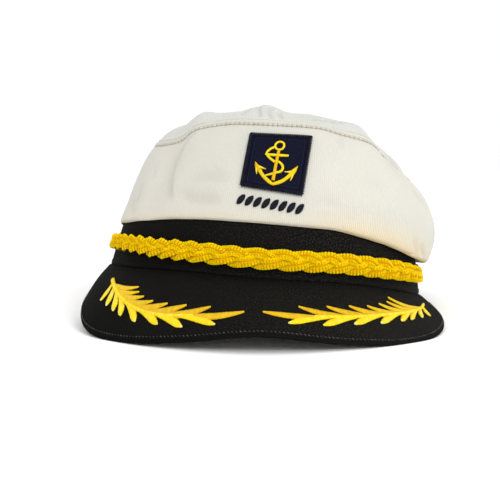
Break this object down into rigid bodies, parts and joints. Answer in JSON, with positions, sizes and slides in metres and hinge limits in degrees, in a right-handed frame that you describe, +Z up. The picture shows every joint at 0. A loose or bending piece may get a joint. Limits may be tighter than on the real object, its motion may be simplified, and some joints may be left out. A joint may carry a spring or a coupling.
{
  "type": "captain hat",
  "caption": "Soft white cotton captain's hat with a black band and peak, a plaited gold braid between side buttons, an anchor patch and leaf sprigs.",
  "frame": {"origin": "middle of the lying hat's box, on the surface that it rests on", "axes": "+Z up, -Y the wearer's front, +X the wearer's left"},
  "size_m": [0.1876, 0.2546, 0.1098],
  "materials": {
    "white_twill": "off-white ribbed cotton twill, matte",
    "black_twill": "black cotton twill, matte",
    "gold_cord": "knitted golden yellow cord, satin",
    "gold_thread": "golden yellow satin stitch, silky",
    "navy_patch": "navy twill with an overlocked border, matte",
    "navy_thread": "navy satin stitch, satin",
    "button_brass": "polished gold"
  },
  "bodies": {
    "root": {"crown_side": "white_twill", "crown_top": "white_twill", "band": "black_twill", "peak": "black_twill", "braid_cord_1": "gold_cord", "braid_cord_2": "gold_cord", "braid_cord_3": "gold_cord", "button_right": "button_brass", "button_left": "button_brass", "patch": "navy_patch", "patch_anchor": "gold_thread", "rope_bar": "navy_thread", "sprig_right": "gold_thread", "sprig_left": "gold_thread"}
  },
  "joints": []
}
